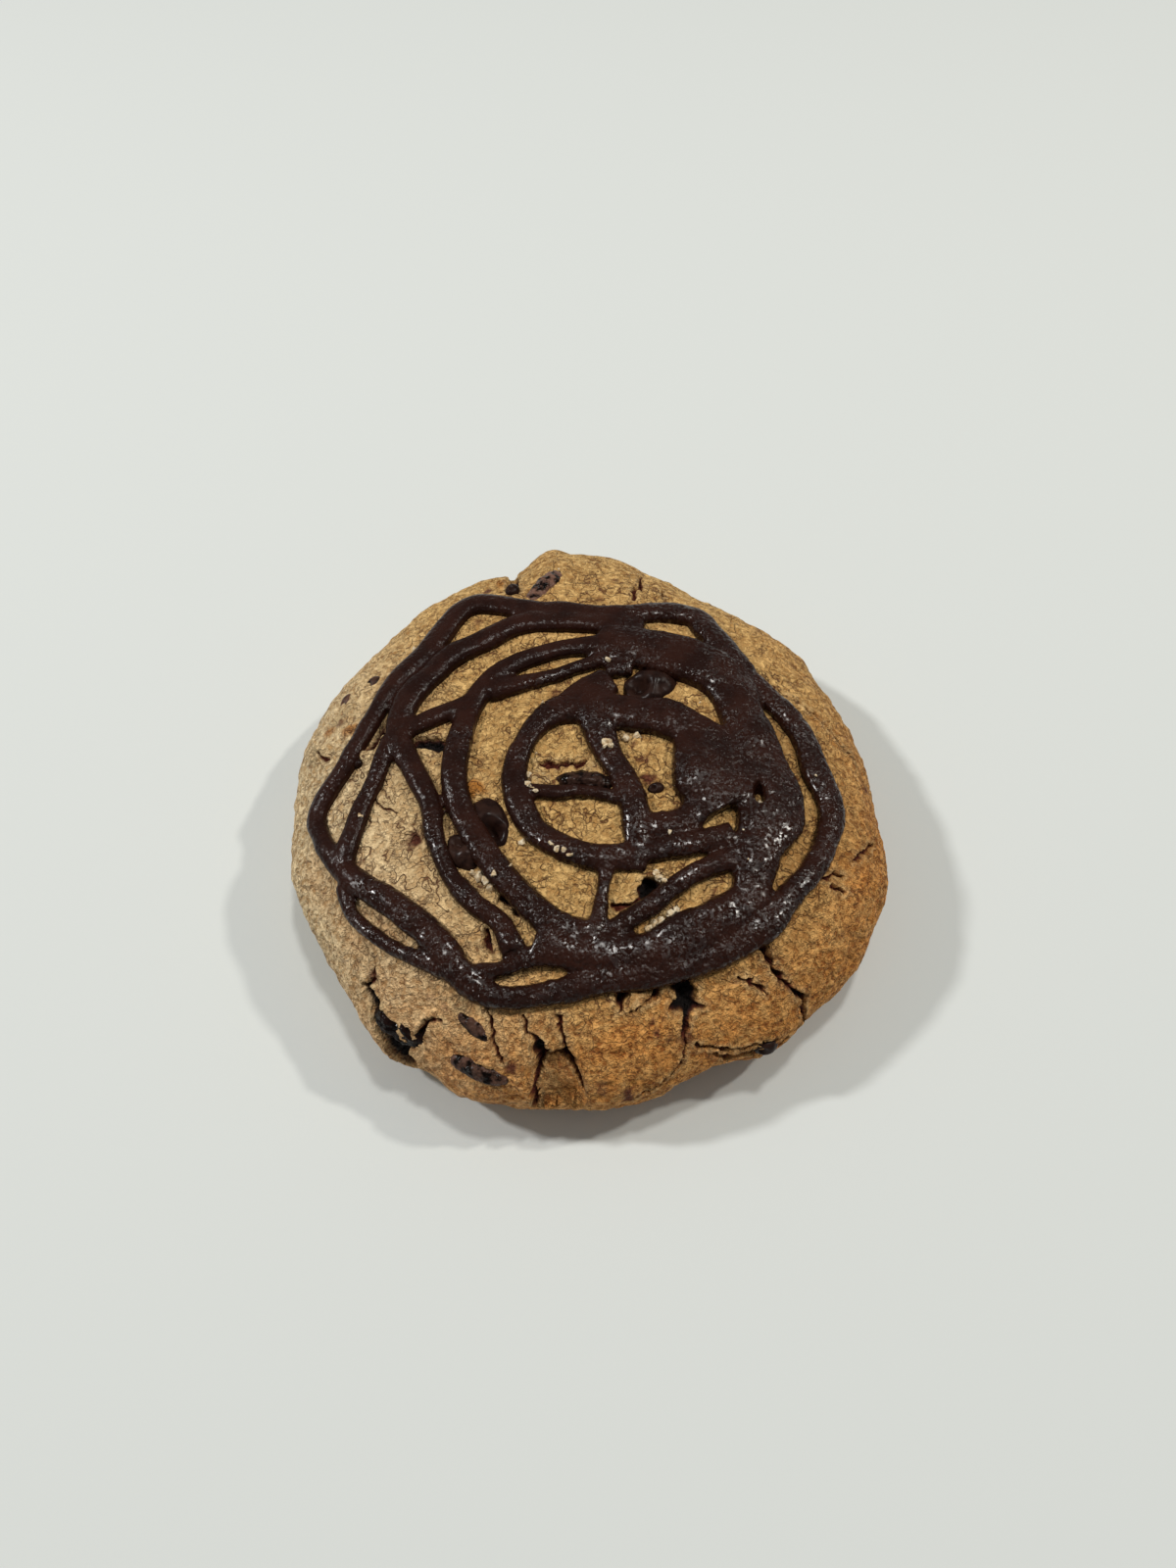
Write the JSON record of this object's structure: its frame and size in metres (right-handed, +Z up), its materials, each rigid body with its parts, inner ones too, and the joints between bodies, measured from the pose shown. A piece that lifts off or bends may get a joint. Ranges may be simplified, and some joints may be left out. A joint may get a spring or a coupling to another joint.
{
  "type": "drizzled chocolate chip cookie",
  "caption": "Thick round drop cookie with a cracked rim, chips and dried fruit, and dark chocolate drizzled over its top.",
  "frame": {"origin": "middle of the flat base, under the middle of the cookie's box", "axes": "+Z up through the drizzled top, +Y towards the back rim, +X to the right"},
  "size_m": [0.088, 0.096, 0.026],
  "materials": {
    "baked_dough": "dry, finely crazed tan crust, toasted darker towards the front",
    "dark_chocolate": "satin to gloss, fine grain with small glints",
    "dried_fruit": "wrinkled, moist gloss",
    "pale_crumb": "dry, rough"
  },
  "bodies": {
    "root": {"cookie": "baked_dough"}
  },
  "joints": []
}
